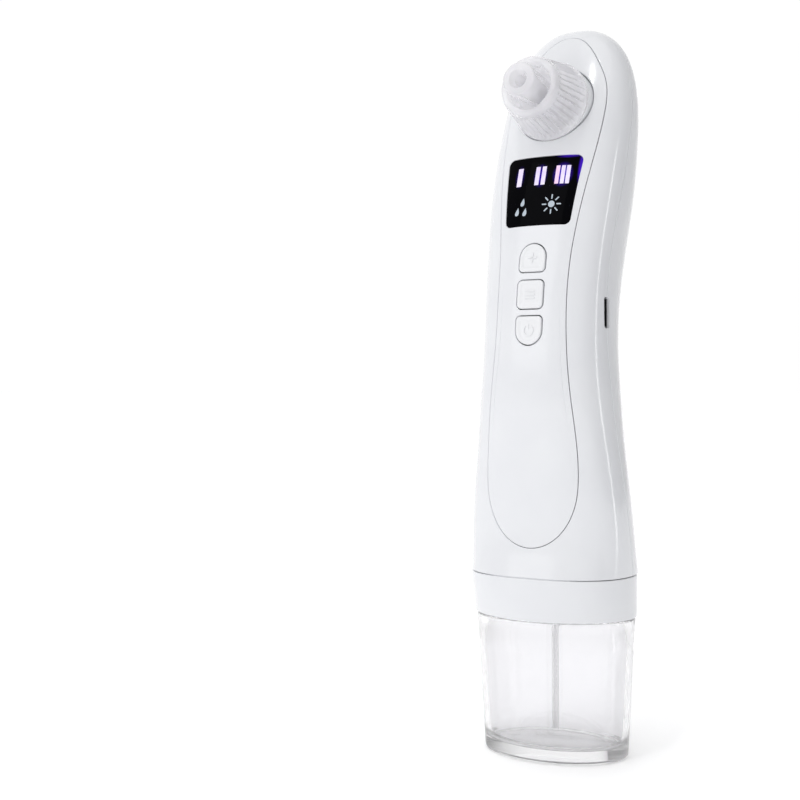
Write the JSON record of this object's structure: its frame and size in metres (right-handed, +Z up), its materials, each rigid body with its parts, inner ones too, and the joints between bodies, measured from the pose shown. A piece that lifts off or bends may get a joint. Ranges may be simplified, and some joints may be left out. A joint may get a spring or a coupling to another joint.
{
  "type": "blackhead vacuum extractor",
  "caption": "Hand-held pore cleaner: white contoured body with a display and keys, a clear ribbed suction nozzle at the head and a clear water cup below.",
  "frame": {"origin": "centre of the water cup's flat base", "axes": "+Z up along the body, the nozzle, display and keys face -Y, and the charging port is on the +X side"},
  "size_m": [0.0458, 0.0506, 0.2004],
  "materials": {
    "battery_wrap": "shrink-wrapped steel cell",
    "black_plastic": "black moulded plastic",
    "board_green": "solder-masked fibreglass board",
    "bright_steel": "plated steel",
    "clear_plastic": "clear polished polycarbonate",
    "copper": "copper winding and iron core",
    "display_black": "black gloss window",
    "foam": "open-cell foam",
    "inner_plastic": "plain moulded ABS",
    "red_lead": "insulated lead",
    "silicone": "translucent silicone",
    "white_plastic": "glossy white ABS"
  },
  "bodies": {
    "cup": {"tank_cup": "clear_plastic"},
    "housing": {"air_filter": "foam", "base_ring": "white_plastic", "battery_cell": "battery_wrap", "battery_contact_high": "bright_steel", "battery_contact_low": "bright_steel", "battery_cradle": "inner_plastic", "battery_lead_black": "black_plastic", "battery_lead_red": "red_lead", "dip_tube": "clear_plastic", "display_module": "black_plastic", "display_window": "display_black", "feed_hose": "silicone", "front_panel": "white_plastic", "front_shell": "white_plastic", "main_board": "board_green", "motor_bracket": "inner_plastic", "motor_can": "bright_steel", "nozzle_seal": "silicone", "nozzle_seat": "white_plastic", "port_plate": "inner_plastic", "pump_body": "inner_plastic", "pump_lid": "inner_plastic", "rear_shell": "white_plastic", "return_sleeve": "silicone", "shell_screw_1": "bright_steel", "shell_screw_2": "bright_steel", "shell_screw_3": "bright_steel", "shell_screw_4": "bright_steel", "suction_hose": "silicone", "switch_mode": "black_plastic", "switch_plus": "black_plastic", "switch_power": "black_plastic", "tank_seal": "silicone", "tip_filter": "foam", "usb_board": "board_green", "usb_socket": "bright_steel", "usb_tongue": "black_plastic"},
    "collar": {"probe_collar": "clear_plastic"},
    "tip": {"probe_tip": "clear_plastic"},
    "key_plus": {"button_plus": "white_plastic"},
    "key_mode": {"button_mode": "white_plastic"},
    "key_power": {"button_power": "white_plastic"},
    "rotor": {"motor_rotor": "copper", "crank_disc": "bright_steel"},
    "piston": {"pump_yoke": "black_plastic", "pump_piston": "silicone"}
  },
  "joints": [
    {"name": "body_lift", "type": "slide", "parent": "cup", "child": "housing", "axis": [0, 0, 1], "range_m": [0, 0.06]},
    {"name": "collar_pull", "type": "slide", "parent": "housing", "child": "collar", "axis": [0, -0.9877, 0.1564], "range_m": [0, 0.02]},
    {"name": "tip_pull", "type": "slide", "parent": "collar", "child": "tip", "axis": [0, -0.9877, 0.1564], "range_m": [0, 0.012]},
    {"name": "press_plus", "type": "slide", "parent": "housing", "child": "key_plus", "axis": [0, 0.9808, -0.1949], "range_m": [0, 0.0005], "stiffness_N_per_m": 300, "springref_m": -0.001},
    {"name": "press_mode", "type": "slide", "parent": "housing", "child": "key_mode", "axis": [0, 0.9902, -0.14], "range_m": [0, 0.0005], "stiffness_N_per_m": 300, "springref_m": -0.001},
    {"name": "press_power", "type": "slide", "parent": "housing", "child": "key_power", "axis": [0, 0.9961, -0.0882], "range_m": [0, 0.0005], "stiffness_N_per_m": 300, "springref_m": -0.001},
    {"name": "motor_spin", "type": "hinge", "parent": "housing", "child": "rotor", "pos_m": [0, -0.0014, 0.063], "axis": [0, 0, 1], "continuous": true},
    {"name": "pump_stroke", "type": "slide", "parent": "housing", "child": "piston", "axis": [1, 0, 0], "range_m": [-0.0008, 0.0008], "stiffness_N_per_m": 200}
  ]
}
